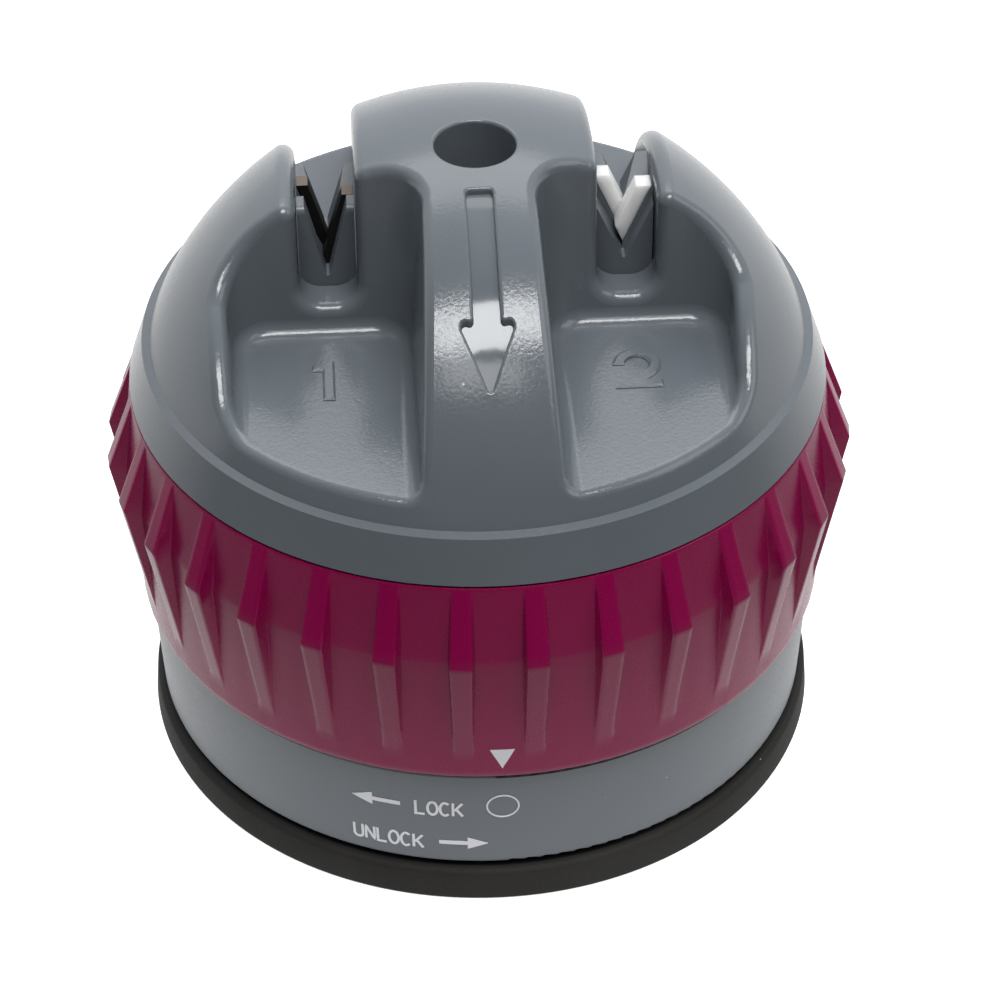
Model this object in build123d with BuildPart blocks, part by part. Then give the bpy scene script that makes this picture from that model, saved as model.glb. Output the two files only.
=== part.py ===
from build123d import *
from math import atan, atan2, cos, degrees, pi, radians, sin, sqrt, tan
import os

os.makedirs("parts", exist_ok=True)

# Sizes are in millimetres. Front is -Y, up is +Z, the table is Z = 0.

# Outer shape, from the table upward
foot_radius = 36.0
lip_height = 3.6
lip_draft = 0.3
groove_height = 0.7
foot_overhang = 1.0
base_height = 13.1
base_flare = 0.7
seam = 0.35
top_seam = 0.25
ring_overhang = 0.7
ring_height = 24.95
ring_crease_height = 16.2
ring_belly = 0.9
ring_taper = 1.1
rim_height = 4.6
rim_draft = 1.55
rim_ledge = 0.8
rim_ledge_rise = 0.37
dome_rise = 27.35

# Ribs of the twist ring
rib_count = 32
rib_width = 2.2
rib_projection = 1.8
rib_peak_rise = 0.65
rib_lower_margin = 3.1
rib_upper_margin = 0.3
rib_root = 1.0

# Walls and small roundings
base_wall = 2.0
deck_thickness = 2.2
ring_wall = 2.5
housing_wall = 2.2
small_round = 0.5
rim_round = 0.4
crease_round = 0.9
edge_round = 1.2

# Wells either side of the ridge
well_floor_rise = 2.38
ridge_foot = 7.1
well_outer_margin = 7.75
well_back_foot = -3.7
well_draft = 4.5
well_corner_radius = 4.0
well_floor_round = 1.6

# Knife slots
slot_margin = 5.0
slot_width = 6.1
slot_lip_rise = 2.7
slot_lip_depth = 4.1
slot_corner_radius = 2.4

# Centre hole, sunk arrow and raised numerals
hole_radius = 4.1
hole_round = 0.3
hole_wall = 2.6
hole_floor = 2.5
arrow_depth = 0.7
arrow_tail = 7.3
arrow_shaft_end = 21.1
arrow_tip = 26.5
arrow_shaft_half = 1.3
arrow_barb_half = 2.85
arrow_barb_sweep = 0.4
arrow_corner_share = 0.25
arrow_round = 0.35
numeral_rise = 0.32
numeral_slope_share = 0.7
numeral_height = 6.3
numeral_stroke = 1.25
numeral_width = 4.9
numeral_front = 15.35
flag_reach = 1.0
flag_drop = 0.65
flag_height = 0.9
two_bowl_start = 180
two_bowl_sweep = -225
two_foot_inset = 1.0
numeral_shift = 0.35

# Cartridges, measured from the floor of the slot
cartridge_gap = 0.15
cartridge_length = 8.0
cartridge_height = 12.3
cartridge_round = 0.8
coarse_notch_rise = 3.9
coarse_notch_angle = 13.5
fine_notch_rise = 4.7
fine_notch_angle = 23.0
notch_bottom_width = 0.3
tang_width = 3.6
tang_length = 5.0
pocket_drop = 1.5
rear_slope = 45.0

# Sharpening bars, crossed in two layers
coarse_bar_front = 2.2
fine_bar_front = 1.7
bar_clearance = 0.06
bar_proud = 0.8
carbide_thickness = 1.7
carbide_width = 1.1
carbide_side_margin = 0.05
carbide_angle = 16.0
ceramic_thickness = 1.9
ceramic_width = 1.45
ceramic_side_margin = 0.05
ceramic_angle = 23.0
bar_layer_gap = 0.2

# Clamp plates under the slots
clamp_width = 10.0
clamp_length = 9.0
clamp_thickness = 1.5

# Chassis
chassis_drop = 2.7
chassis_thickness = 2.0
chassis_rim_rise = 2.6
chassis_rim_wall = 2.1
ring_clearance = 0.3
spigot_fit = 0.1
boss_inset = 2.1
boss_radius = 3.2
boss_count = 4

# Centre column of the base
column_radius = 6.4
key_width = 7.4
key_clearance = 0.1
bore_roof = 1.2

# Rubber foot
rim_width = 6.0
upstand_gap = 0.3
upstand_wall = 3.0
upstand_height = 4.4
bead_projection = 0.5
bead_height = 1.2
bead_rise = 2.0
bead_clearance = 0.15
shoulder_width = 4.2
shoulder_thickness = 1.8
membrane_outer_rise = 0.9
membrane_inner_rise = 1.9
membrane_outer_thickness = 2.5
membrane_inner_thickness = 3.2
cup_boss_radius = 8.5
cup_boss_top = 6.0

# Lifting stud and its fasteners
stud_radius = 3.0
stud_fit = 0.08
stud_flange_radius = 7.0
stud_flange_thickness = 1.2
stud_flange_rise = 1.4
flange_gap = 0.2
stud_top_margin = 1.1
washer_radius = 8.0
washer_thickness = 1.0
nut_across_flats = 10.0
nut_height = 3.0
contact_gap = 0.05

# Cam and lifting pin
turn_angle = 75.0
lift = 4.0
pin_radius = 1.5
pin_clearance = 0.15
pin_rise = 2.8
pin_end_gap = 0.3
sleeve_fit = 0.1
sleeve_wall = 2.8
web_thickness = 2.6
glide_thickness = 0.6
glide_gap = 0.1
glide_width = 3.5
ledge_thickness = 2.0
ledge_width = 6.6
carrier_gap = 0.15
peg_radius = 2.0
peg_inset = 5.1
peg_count = 3
peg_clearance = 0.4
peg_overrise = 0.3

# Return spring
wire_radius = 0.35
spring_pitch = 1.45
spring_side_gap = 0.3
spring_end_gap = 0.05

# Screws
screw_fit = 0.1
recess_share = 0.55
recess_width = 0.7
recess_depth = 0.8
chassis_screw_radius = 1.3
chassis_screw_head = 2.6
chassis_screw_head_height = 1.8
chassis_screw_bite = 4.6
clamp_screw_radius = 1.0
clamp_screw_head = 2.2
clamp_screw_head_height = 1.5
clamp_screw_bite = 3.4
carrier_screw_radius = 1.1
carrier_screw_head = 2.3
carrier_screw_head_height = 1.4
carrier_screw_bite = 4.2
carrier_screw_count = 4
carrier_boss_radius = 2.6
carrier_boss_height = 3.0
centre_screw_radius = 2.0
centre_screw_head = 3.3
centre_screw_head_height = 2.4
centre_screw_bite = 4.0
centre_washer_radius = 3.8
centre_washer_thickness = 0.8
hole_end_gap = 0.4

# Outer radii, from the foot upward
base_lower_radius = foot_radius - foot_overhang
base_upper_radius = base_lower_radius + base_flare
ring_lower_radius = base_upper_radius + ring_overhang
ring_crease_radius = ring_lower_radius + ring_belly
ring_upper_radius = ring_crease_radius - ring_taper
rim_lower_radius = ring_upper_radius
rim_upper_radius = rim_lower_radius - rim_draft
crease_radius = rim_upper_radius - rim_ledge

# Heights of the main seams and seats
base_bottom = lip_height + groove_height
base_top = base_bottom + base_height
deck_bottom = base_top - deck_thickness
ring_bottom = base_top + seam
ring_top = ring_bottom + ring_height
housing_bottom = ring_top + top_seam
dome_top = housing_bottom + dome_rise
crease_level = housing_bottom + rim_height + rim_ledge_rise
cap_height = dome_top - crease_level
dome_radius = (crease_radius**2 + cap_height**2) / (2 * cap_height)
dome_centre = dome_top - dome_radius
well_floor = crease_level + well_floor_rise
floor_radius = sqrt(dome_radius**2 - (well_floor - dome_centre) ** 2)
well_top = dome_top + edge_round
chassis_bottom = ring_top - chassis_drop
chassis_top = chassis_bottom + chassis_thickness
web_bottom = base_top + glide_thickness + glide_gap
web_top = web_bottom + web_thickness
ledge_top = web_top + ledge_thickness
sleeve_top = chassis_bottom - glide_thickness - contact_gap - glide_gap
pin_level = web_top + pin_rise
stud_top = pin_level + pin_radius + stud_top_margin
key_top = chassis_top - contact_gap
screw_tip = key_top - centre_screw_bite - chassis_thickness
bore_top = screw_tip - hole_end_gap - bore_roof
hole_bottom = chassis_top + hole_floor
upstand_top = lip_height + upstand_height
shoulder_top = upstand_top + shoulder_thickness
clamp_top = well_floor - housing_wall
clamp_bottom = clamp_top - clamp_thickness

# Radii that follow from the fits
ring_bore = ring_upper_radius - ring_wall
chassis_radius = ring_bore - ring_clearance
boss_circle = chassis_radius - chassis_rim_wall - boss_inset - boss_radius
housing_bore = chassis_radius + spigot_fit
bore_radius = stud_radius + stud_fit
sleeve_bore = column_radius + sleeve_fit
sleeve_radius = sleeve_bore + sleeve_wall
web_radius = ring_bore - carrier_gap
cup_seat_radius = base_lower_radius - base_wall
upstand_radius = cup_seat_radius - upstand_gap
upstand_bore = upstand_radius - upstand_wall
bead_radius = upstand_radius + bead_projection
groove_radius = bead_radius + bead_clearance
bead_bottom = lip_height + bead_rise
bead_top = bead_bottom + bead_height
carrier_screw_circle = ring_bore - ledge_width / 2
peg_circle = ring_bore - ledge_width - peg_inset - peg_radius
well_outer_foot = floor_radius - well_outer_margin
slot_centre = ridge_foot + slot_margin + slot_width / 2
one_centre = -slot_centre - numeral_shift
two_centre = slot_centre + numeral_shift
front_reach = -2 * foot_radius
rear_reach = 2 * foot_radius
arrow_corner = arrow_corner_share * (arrow_barb_half - arrow_shaft_half)

dome_middle = Vector(0, 0, dome_centre)


def on_dome(edge):
    """True for an edge that lies on the dome's ball all along."""
    spots = [edge @ share for share in (0, 0.25, 0.5, 0.75, 1)]
    return all(abs((spot - dome_middle).length - dome_radius) < contact_gap / 10 for spot in spots)


def well_back(level):
    """Y of a well's back wall at a height."""
    return well_back_foot + (level - well_floor) * tan(radians(well_draft))


def in_arrow(edge):
    """True for an edge within the arrow's plan."""
    spot = edge @ 0.5
    along = -arrow_tip - contact_gap < spot.Y < -arrow_tail + contact_gap
    return along and abs(spot.X) < arrow_barb_half + contact_gap


def on_slot_mouth(edge):
    """True for an edge where a slot breaks through a well's back wall."""
    spots = [edge @ share for share in (0, 0.25, 0.5, 0.75, 1)]
    return all(
        abs(spot.Y - well_back(spot.Z)) < contact_gap / 10
        and abs(abs(spot.X) - slot_centre) < slot_width / 2 + contact_gap
        and spot.Z > well_floor + slot_lip_rise - contact_gap
        for spot in spots
    )


def well_outline(level, grow):
    """Plan of the right-hand well at a height, with its walls moved out by grow."""
    lean = (level - well_floor) * tan(radians(well_draft))
    inner = ridge_foot - lean - grow
    outer = well_outer_foot + lean + grow
    back = well_back(level) + grow
    with BuildSketch(Plane.XY.offset(level)) as outline:
        with Locations(((inner + outer) / 2, (back + front_reach) / 2)):
            Rectangle(outer - inner, back - front_reach)
        fillet(outline.vertices().group_by(Axis.Y)[-1], well_corner_radius + grow)
    return outline.sketch.face()


def screw(seat, head_radius, head_height, radius, length):
    """Cross-recess screw whose head stands on a seat plane, its shank along the plane's normal."""
    with BuildPart() as made:
        with BuildSketch(seat.offset(-head_height)):
            Circle(head_radius)
        extrude(amount=head_height)
        with BuildSketch(seat):
            Circle(radius)
        extrude(amount=length)
        with BuildSketch(seat.offset(-head_height)):
            Rectangle(2 * recess_share * head_radius, recess_width)
            Rectangle(recess_width, 2 * recess_share * head_radius)
        extrude(amount=recess_depth, mode=Mode.SUBTRACT)
    return made.part


def circle_of(radius, count, first=0.0):
    """Points evenly spaced on a circle about the main axis."""
    angles = [radians(first + 360 * number / count) for number in range(count)]
    return [(radius * cos(angle), radius * sin(angle)) for angle in angles]


chassis_screw_spots = circle_of(boss_circle, boss_count, 180 / boss_count)
carrier_screw_spots = circle_of(carrier_screw_circle, carrier_screw_count, 180 / carrier_screw_count)
peg_angles = [90 + 360 * number / peg_count for number in range(peg_count)]


# Rubber suction foot: lip, upstand with a snap bead, membrane and thick middle
with BuildPart() as suction_cup:
    with BuildSketch(Plane.XZ):
        with BuildLine():
            Polyline(
                (bore_radius, cup_boss_top),
                (cup_boss_radius, cup_boss_top),
                (cup_boss_radius, membrane_inner_rise + membrane_inner_thickness),
                (upstand_bore, membrane_outer_rise + membrane_outer_thickness),
                (upstand_bore, upstand_top),
                (upstand_radius, upstand_top),
                (upstand_radius, bead_top),
                (bead_radius, (bead_bottom + bead_top) / 2),
                (upstand_radius, bead_bottom),
                (upstand_radius, lip_height),
                (foot_radius - lip_draft, lip_height),
                (foot_radius, 0),
                (foot_radius - rim_width, 0),
                (foot_radius - rim_width - membrane_outer_rise, membrane_outer_rise),
                (stud_flange_radius + flange_gap, membrane_inner_rise),
                (stud_flange_radius + flange_gap, stud_flange_rise + stud_flange_thickness + contact_gap),
                (bore_radius, stud_flange_rise + stud_flange_thickness + contact_gap),
                close=True,
            )
        make_face()
    revolve(axis=Axis.Z)

# Steel stud through the middle of the rubber, cross-drilled for the pin
with BuildPart() as lift_stud:
    with BuildSketch(Plane.XY.offset(stud_flange_rise)):
        Circle(stud_flange_radius)
    extrude(amount=stud_flange_thickness)
    with BuildSketch(Plane.XY.offset(stud_flange_rise)):
        Circle(stud_radius)
    extrude(amount=stud_top - stud_flange_rise)
    chamfer(lift_stud.edges().group_by(Axis.Z)[-1], small_round)
    with BuildSketch(Plane.YZ):
        with Locations((0, pin_level)):
            Circle(pin_radius + contact_gap)
    extrude(amount=stud_radius, both=True, mode=Mode.SUBTRACT)

with BuildPart() as cup_washer:
    with BuildSketch(Plane.XY.offset(cup_boss_top + contact_gap)):
        Circle(washer_radius)
        Circle(bore_radius, mode=Mode.SUBTRACT)
    extrude(amount=washer_thickness)

with BuildPart() as cup_nut:
    with BuildSketch(Plane.XY.offset(cup_boss_top + contact_gap + washer_thickness)):
        RegularPolygon(nut_across_flats / 2, 6, major_radius=False)
        Circle(bore_radius, mode=Mode.SUBTRACT)
    extrude(amount=nut_height)

with BuildPart() as lift_pin:
    with BuildSketch(Plane.YZ):
        with Locations((0, pin_level)):
            Circle(pin_radius)
    extrude(amount=sleeve_radius - pin_end_gap, both=True)
    chamfer(lift_pin.edges().filter_by(GeomType.CIRCLE), small_round / 2)

# Base: skirt, deck, shoulder over the rubber, and the centre column
with BuildPart() as base_housing:
    with BuildSketch(Plane.XZ) as base_section:
        with BuildLine():
            Polyline(
                (bore_radius, deck_bottom),
                (cup_seat_radius, deck_bottom),
                (cup_seat_radius, shoulder_top),
                (cup_seat_radius - shoulder_width, shoulder_top),
                (cup_seat_radius - shoulder_width, upstand_top),
                (cup_seat_radius, upstand_top),
                (cup_seat_radius, bead_top),
                (groove_radius, (bead_bottom + bead_top) / 2),
                (cup_seat_radius, bead_bottom),
                (cup_seat_radius, base_bottom),
                (base_lower_radius, base_bottom),
                (base_upper_radius, base_top),
                (column_radius, base_top),
                (column_radius, chassis_bottom),
                (0, chassis_bottom),
                (0, bore_top),
                (bore_radius, bore_top),
                close=True,
            )
        make_face()
        outer_corners = base_section.vertices().sort_by(Axis.X)[-2:]
        fillet(outer_corners, small_round)
    revolve(axis=Axis.Z)
    # square key that enters the chassis, drilled for the centre screw
    with BuildSketch(Plane.XY.offset(chassis_bottom)):
        Rectangle(key_width, key_width)
    extrude(amount=key_top - chassis_bottom)
    with BuildSketch(Plane.XY.offset(screw_tip - hole_end_gap)):
        Circle(centre_screw_radius + screw_fit)
    extrude(amount=dome_top, mode=Mode.SUBTRACT)
    # upright guide slots for the lifting pin
    with BuildSketch(Plane.YZ):
        with Locations((0, pin_level + lift / 2)):
            SlotCenterToCenter(lift, 2 * (pin_radius + pin_clearance), rotation=90)
    extrude(amount=2 * column_radius, both=True, mode=Mode.SUBTRACT)
    # pegs that stop the twist ring
    with BuildSketch(Plane.XY.offset(base_top)):
        for angle in peg_angles:
            with Locations((peg_circle * cos(radians(angle)), peg_circle * sin(radians(angle)))):
                Circle(peg_radius)
    extrude(amount=web_top + peg_overrise - base_top)

with BuildPart() as lower_glide_washer:
    with BuildSketch(Plane.XY.offset(base_top)):
        Circle(sleeve_bore + glide_width)
        Circle(sleeve_bore, mode=Mode.SUBTRACT)
    extrude(amount=glide_thickness)

with BuildPart() as upper_glide_washer:
    with BuildSketch(Plane.XY.offset(chassis_bottom - contact_gap - glide_thickness)):
        Circle(sleeve_bore + glide_width)
        Circle(sleeve_bore, mode=Mode.SUBTRACT)
    extrude(amount=glide_thickness)

# Cutter of one helical slot: a sector that climbs as it turns, wide enough for the pin
turn_per_lift = turn_angle / lift
helix_slope = atan(lift / (sleeve_bore * radians(turn_angle)))
pin_reach = pin_radius + pin_clearance
half_sector = pin_reach / cos(helix_slope) * turn_per_lift
cutter_height = lift + 2 * pin_reach
cutter_inner = column_radius / 2
cutter_outer = sleeve_radius + sleeve_wall
sector_start = -pin_reach * turn_per_lift - half_sector


def helical_cutter(first_angle):
    """Solid that cuts one climbing slot through the sleeve."""
    start = first_angle + sector_start
    with BuildSketch(Plane.XY.offset(pin_level - pin_reach)) as sector:
        with BuildLine():
            inner_arc = CenterArc((0, 0), cutter_inner, start, 2 * half_sector)
            outer_arc = CenterArc((0, 0), cutter_outer, start, 2 * half_sector)
            Line(inner_arc @ 0, outer_arc @ 0)
            Line(inner_arc @ 1, outer_arc @ 1)
        make_face()
    return Solid.extrude_linear_with_rotation(
        sector.sketch.face(),
        (0, 0, pin_level - pin_reach),
        (0, 0, cutter_height),
        cutter_height * turn_per_lift,
    )


helical_cutters = [helical_cutter(first_angle) for first_angle in (0, 180)]
peg_arcs = [CenterArc((0, 0), peg_circle, angle, turn_angle) for angle in peg_angles]

# Cam carrier: web with three stop slots and a sleeve with two helical slots
with BuildPart() as cam_carrier:
    with BuildSketch(Plane.XY.offset(web_bottom)):
        Circle(web_radius)
    extrude(amount=web_thickness)
    with BuildSketch(Plane.XY.offset(web_bottom)):
        Circle(sleeve_radius)
    extrude(amount=sleeve_top - web_bottom)
    with BuildSketch(Plane.XY.offset(web_bottom)):
        Circle(sleeve_bore)
        for arc in peg_arcs:
            SlotArc(arc, 2 * (peg_radius + peg_clearance))
    extrude(amount=sleeve_top, mode=Mode.SUBTRACT)
    for cutter in helical_cutters:
        add(cutter, mode=Mode.SUBTRACT)
    with BuildSketch(Plane.XY.offset(web_bottom)):
        with Locations(carrier_screw_spots):
            Circle(carrier_screw_head + screw_fit)
    extrude(amount=carrier_screw_head_height + screw_fit, mode=Mode.SUBTRACT)
    with BuildSketch(Plane.XY.offset(web_bottom)):
        with Locations(carrier_screw_spots):
            Circle(carrier_screw_radius + screw_fit)
    extrude(amount=web_thickness, mode=Mode.SUBTRACT)

carrier_screw_seat = web_bottom + carrier_screw_head_height + screw_fit
with BuildPart() as carrier_screws:
    for spot in carrier_screw_spots:
        add(
            screw(
                Plane((*spot, carrier_screw_seat)),
                carrier_screw_head,
                carrier_screw_head_height,
                carrier_screw_radius,
                web_top - carrier_screw_seat + carrier_screw_bite,
            )
        )

# Twist ring: barrel, ribs, and an inner ledge with screw bosses
crease_z = ring_bottom + ring_crease_height
rib_peak_height = ring_crease_height + rib_peak_rise
rib_tip_radius = ring_crease_radius + rib_projection
with BuildPart() as twist_ring:
    with BuildSketch(Plane.XZ) as ring_section:
        with BuildLine():
            Polyline(
                (ring_bore, ring_bottom),
                (ring_lower_radius, ring_bottom),
                (ring_crease_radius, crease_z),
                (ring_upper_radius, ring_top),
                (ring_bore, ring_top),
                (ring_bore, ledge_top),
                (ring_bore - ledge_width, ledge_top),
                (ring_bore - ledge_width, web_top),
                (ring_bore, web_top),
                close=True,
            )
        make_face()
        fillet(ring_section.vertices().sort_by(Axis.X)[-3:-1], small_round)
    revolve(axis=Axis.Z)
    for number in range(rib_count):
        angle = (number + 0.5) * 2 * pi / rib_count
        outward = (cos(angle), sin(angle), 0)
        sideways = (sin(angle), -cos(angle), 0)
        with BuildSketch(Plane((0, 0, ring_bottom), x_dir=outward, z_dir=sideways)):
            with BuildLine():
                Polyline(
                    (ring_upper_radius - rib_root, ring_height - rib_upper_margin),
                    (ring_upper_radius, ring_height - rib_upper_margin),
                    (rib_tip_radius, rib_peak_height),
                    (ring_lower_radius, rib_lower_margin),
                    (ring_lower_radius - rib_root, rib_lower_margin),
                    close=True,
                )
            make_face()
    extrude(amount=rib_width / 2, both=True)
    with BuildSketch(Plane.XY.offset(ledge_top)):
        with Locations(carrier_screw_spots):
            Circle(carrier_boss_radius)
    extrude(amount=carrier_boss_height)
    with BuildSketch(Plane.XY.offset(web_top)):
        with Locations(carrier_screw_spots):
            Circle(carrier_screw_radius + screw_fit)
    extrude(amount=carrier_screw_bite + hole_end_gap, mode=Mode.SUBTRACT)

# Chassis plate that closes the dome and centres the twist ring
with BuildPart() as chassis:
    with BuildSketch(Plane.XY.offset(chassis_bottom)):
        Circle(chassis_radius)
    extrude(amount=chassis_thickness)
    with BuildSketch(Plane.XY.offset(chassis_top)):
        Circle(chassis_radius)
        Circle(chassis_radius - chassis_rim_wall, mode=Mode.SUBTRACT)
    extrude(amount=chassis_rim_rise)
    with BuildSketch(Plane.XY.offset(chassis_bottom)):
        Rectangle(key_width + 2 * key_clearance, key_width + 2 * key_clearance)
        with Locations(chassis_screw_spots):
            Circle(chassis_screw_radius + screw_fit)
    extrude(amount=chassis_thickness, mode=Mode.SUBTRACT)

with BuildPart() as chassis_screws:
    for spot in chassis_screw_spots:
        add(
            screw(
                Plane((*spot, chassis_bottom)),
                chassis_screw_head,
                chassis_screw_head_height,
                chassis_screw_radius,
                chassis_thickness + chassis_screw_bite,
            )
        )

# Cutters of the dome's right-hand well and knife slot
with BuildPart() as well:
    extrude(well_outline(well_floor, 0), amount=well_top - well_floor, taper=-well_draft)
    fillet(well.edges().group_by(Axis.Z)[0], well_floor_round)

slot_back = well_back(well_floor) + slot_lip_depth
with BuildPart() as slot:
    with BuildSketch(Plane.XZ.offset(-slot_back)) as slot_mouth:
        with Locations((slot_centre, (well_floor + slot_lip_rise + well_top) / 2)):
            Rectangle(slot_width, well_top - well_floor - slot_lip_rise)
        fillet(slot_mouth.vertices().group_by(Axis.Z)[0], slot_corner_radius)
    extrude(amount=-front_reach)
    with BuildSketch(Plane.XZ.offset(-slot_back)):
        with Locations((slot_centre, (well_floor + well_top) / 2)):
            Rectangle(slot_width, well_top - well_floor)
    extrude(amount=-rear_reach)

# Space inside the dome: the ball less a wall round every well, slot, hole and boss
inner_radius = dome_radius - housing_wall
inner_crease = sqrt(inner_radius**2 - (crease_level - dome_centre) ** 2)
with BuildPart() as grown_well:
    extrude(well_outline(clamp_top, housing_wall), amount=well_top - clamp_top, taper=-well_draft)

with BuildPart() as grown_slot:
    with BuildSketch(Plane.XY.offset(clamp_top)):
        with Locations((slot_centre, 0)):
            Rectangle(slot_width + 2 * housing_wall, 2 * rear_reach)
    extrude(amount=well_top - clamp_top)

with BuildPart() as cavity:
    with BuildSketch(Plane.YZ):
        with BuildLine():
            Polyline(
                (0, dome_centre + inner_radius),
                (0, housing_bottom),
                (housing_bore, housing_bottom),
                (housing_bore, chassis_top + chassis_rim_rise + contact_gap),
                (inner_crease, crease_level),
            )
            crease_angle = degrees(atan2(crease_level - dome_centre, inner_crease))
            CenterArc((0, dome_centre), inner_radius, crease_angle, 90 - crease_angle)
        make_face()
    revolve(axis=Axis.Z)
    for grown in (grown_well, grown_slot):
        add(grown.part, mode=Mode.SUBTRACT)
        add(grown.part.mirror(Plane.YZ), mode=Mode.SUBTRACT)
    with BuildSketch(Plane.XY.offset(housing_bottom)):
        Circle(hole_radius + hole_wall)
        with Locations(chassis_screw_spots):
            Circle(boss_radius)
    extrude(amount=dome_top, mode=Mode.SUBTRACT)

# Sunk arrow along the ridge, its bottom following the ball
with BuildPart() as arrow:
    with BuildSketch(Plane.XY.offset(well_floor)) as arrow_sketch:
        with BuildLine():
            Polyline(
                (-arrow_shaft_half, -arrow_tail),
                (arrow_shaft_half, -arrow_tail),
                (arrow_shaft_half, -arrow_shaft_end),
                (arrow_barb_half, -arrow_shaft_end + arrow_barb_sweep),
                (0, -arrow_tip),
                (-arrow_barb_half, -arrow_shaft_end + arrow_barb_sweep),
                (-arrow_shaft_half, -arrow_shaft_end),
                close=True,
            )
        make_face()
        fillet(arrow_sketch.vertices(), arrow_corner)
    extrude(amount=well_top - well_floor)
    with Locations((0, 0, dome_centre)):
        Sphere(dome_radius - arrow_depth, mode=Mode.SUBTRACT)

# Raised numerals on the well floors, with sloped sides
numeral_back = -numeral_front + numeral_height
half_stroke = numeral_stroke / 2
stem_left = one_centre - half_stroke
flag_top = numeral_back - flag_drop
bowl_radius = (numeral_width - numeral_stroke) / 2
bowl_centre = (two_centre, numeral_back - half_stroke - bowl_radius)
with BuildPart() as numerals:
    with BuildSketch(Plane.XY.offset(clamp_top)):
        with BuildLine():
            Polyline(
                (stem_left, -numeral_front),
                (one_centre + half_stroke, -numeral_front),
                (one_centre + half_stroke, numeral_back),
                (one_centre, numeral_back),
                (stem_left, flag_top),
                (stem_left - flag_reach, flag_top),
                (stem_left - flag_reach, flag_top - flag_height),
                (stem_left, flag_top - flag_height),
                close=True,
            )
        make_face()
        with BuildLine():
            bowl = CenterArc(bowl_centre, bowl_radius, two_bowl_start, two_bowl_sweep)
            foot = (two_centre - bowl_radius + two_foot_inset, -numeral_front + half_stroke)
            Line(bowl @ 1, foot)
            Line(foot, (two_centre + bowl_radius + half_stroke, -numeral_front + half_stroke))
        trace(line_width=numeral_stroke)
    extrude(amount=well_floor + numeral_rise - clamp_top)
    chamfer(numerals.edges().group_by(Axis.Z)[-1], numeral_slope_share * numeral_rise)

# Dome housing
with BuildPart() as top_housing:
    with BuildSketch(Plane.YZ) as dome_section:
        with BuildLine():
            rim_top = (rim_upper_radius, housing_bottom + rim_height)
            Polyline(
                (0, dome_top),
                (0, housing_bottom),
                (rim_lower_radius, housing_bottom),
                rim_top,
                (crease_radius, crease_level),
            )
            crease_angle = degrees(atan2(crease_level - dome_centre, crease_radius))
            CenterArc((0, dome_centre), dome_radius, crease_angle, 90 - crease_angle)
        make_face()
        rim_corner = dome_section.vertices().sort_by_distance((0, *rim_top))[0]
        fillet(rim_corner, rim_round)
        crease_corner = dome_section.vertices().sort_by_distance((0, crease_radius, crease_level))[0]
        fillet(crease_corner, crease_round)
    revolve(axis=Axis.Z)
    for cutter in (well, slot):
        add(cutter.part, mode=Mode.SUBTRACT)
        add(cutter.part.mirror(Plane.YZ), mode=Mode.SUBTRACT)
    above_crease = [edge for edge in top_housing.edges() if edge.center().Z > crease_level + contact_gap]
    cut_edges = [edge for edge in above_crease if abs(edge.center().X) > edge_round]
    fillet([edge for edge in cut_edges if on_dome(edge) or on_slot_mouth(edge)], edge_round)
    with BuildSketch(Plane.XY.offset(hole_bottom)):
        Circle(hole_radius)
    extrude(amount=dome_top, mode=Mode.SUBTRACT)
    hole_mouth = top_housing.edges().filter_by(GeomType.CIRCLE).sort_by(Axis.Z)[-1]
    fillet(hole_mouth, hole_round)
    add(arrow.part, mode=Mode.SUBTRACT)
    fillet([edge for edge in top_housing.edges() if on_dome(edge) and in_arrow(edge)], arrow_round)
    add(cavity.part, mode=Mode.SUBTRACT)
    add(numerals.part)
    # hub and bosses that reach down to the chassis
    with BuildSketch(Plane.XY.offset(chassis_top)):
        Circle(hole_radius + hole_wall)
        with Locations(chassis_screw_spots):
            Circle(boss_radius)
    extrude(amount=hole_floor)
    with BuildSketch(Plane.XY.offset(chassis_top)):
        with Locations(chassis_screw_spots):
            Circle(chassis_screw_radius + screw_fit)
    extrude(amount=chassis_screw_bite + hole_end_gap, mode=Mode.SUBTRACT)
    with BuildSketch(Plane.XY.offset(chassis_top)):
        Circle(centre_screw_radius + screw_fit)
    extrude(amount=hole_floor, mode=Mode.SUBTRACT)
    # windows in the slot floors for the cartridge tangs
    with BuildSketch(Plane.XY.offset(clamp_top)):
        for side in (-1, 1):
            with Locations((side * slot_centre, slot_back + cartridge_gap + cartridge_length / 2)):
                Rectangle(tang_width + 2 * cartridge_gap, tang_length + 2 * cartridge_gap)
    extrude(amount=housing_wall, mode=Mode.SUBTRACT)

# Cartridges with their crossed bars, drawn from the front at the slot's own centre
cartridge_top = well_floor + cartridge_height
cartridge_front = slot_back + cartridge_gap
cartridge_half = slot_width / 2 - cartridge_gap
cartridge_back = cartridge_front + cartridge_length
coarse_bar_plane = cartridge_front + coarse_bar_front
fine_bar_plane = cartridge_front + fine_bar_front
tang_bottom = clamp_top + contact_gap
tang_middle = cartridge_front + cartridge_length / 2
coarse_centre = -slot_centre
fine_centre = slot_centre


def apex_of(width, angle, side_margin):
    """Height of the V's bottom for a pair of bars that reach the cartridge's sides at the top."""
    inner_top = cartridge_half - side_margin - width / cos(radians(angle))
    return cartridge_top - inner_top / tan(radians(angle))


def bar_outline(centre, side, width, apex, angle):
    """Corners of one slanted bar, trimmed to the V that the pair makes."""
    slant = tan(radians(angle))
    across = width / cos(radians(angle))
    inner_top = (cartridge_top - apex) * slant
    return [
        (centre + side * inner_top, cartridge_top),
        (centre + side * (inner_top + across), cartridge_top),
        (centre, apex - across / slant),
        (centre - side * across / 2, apex - across / slant / 2),
    ]


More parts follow.
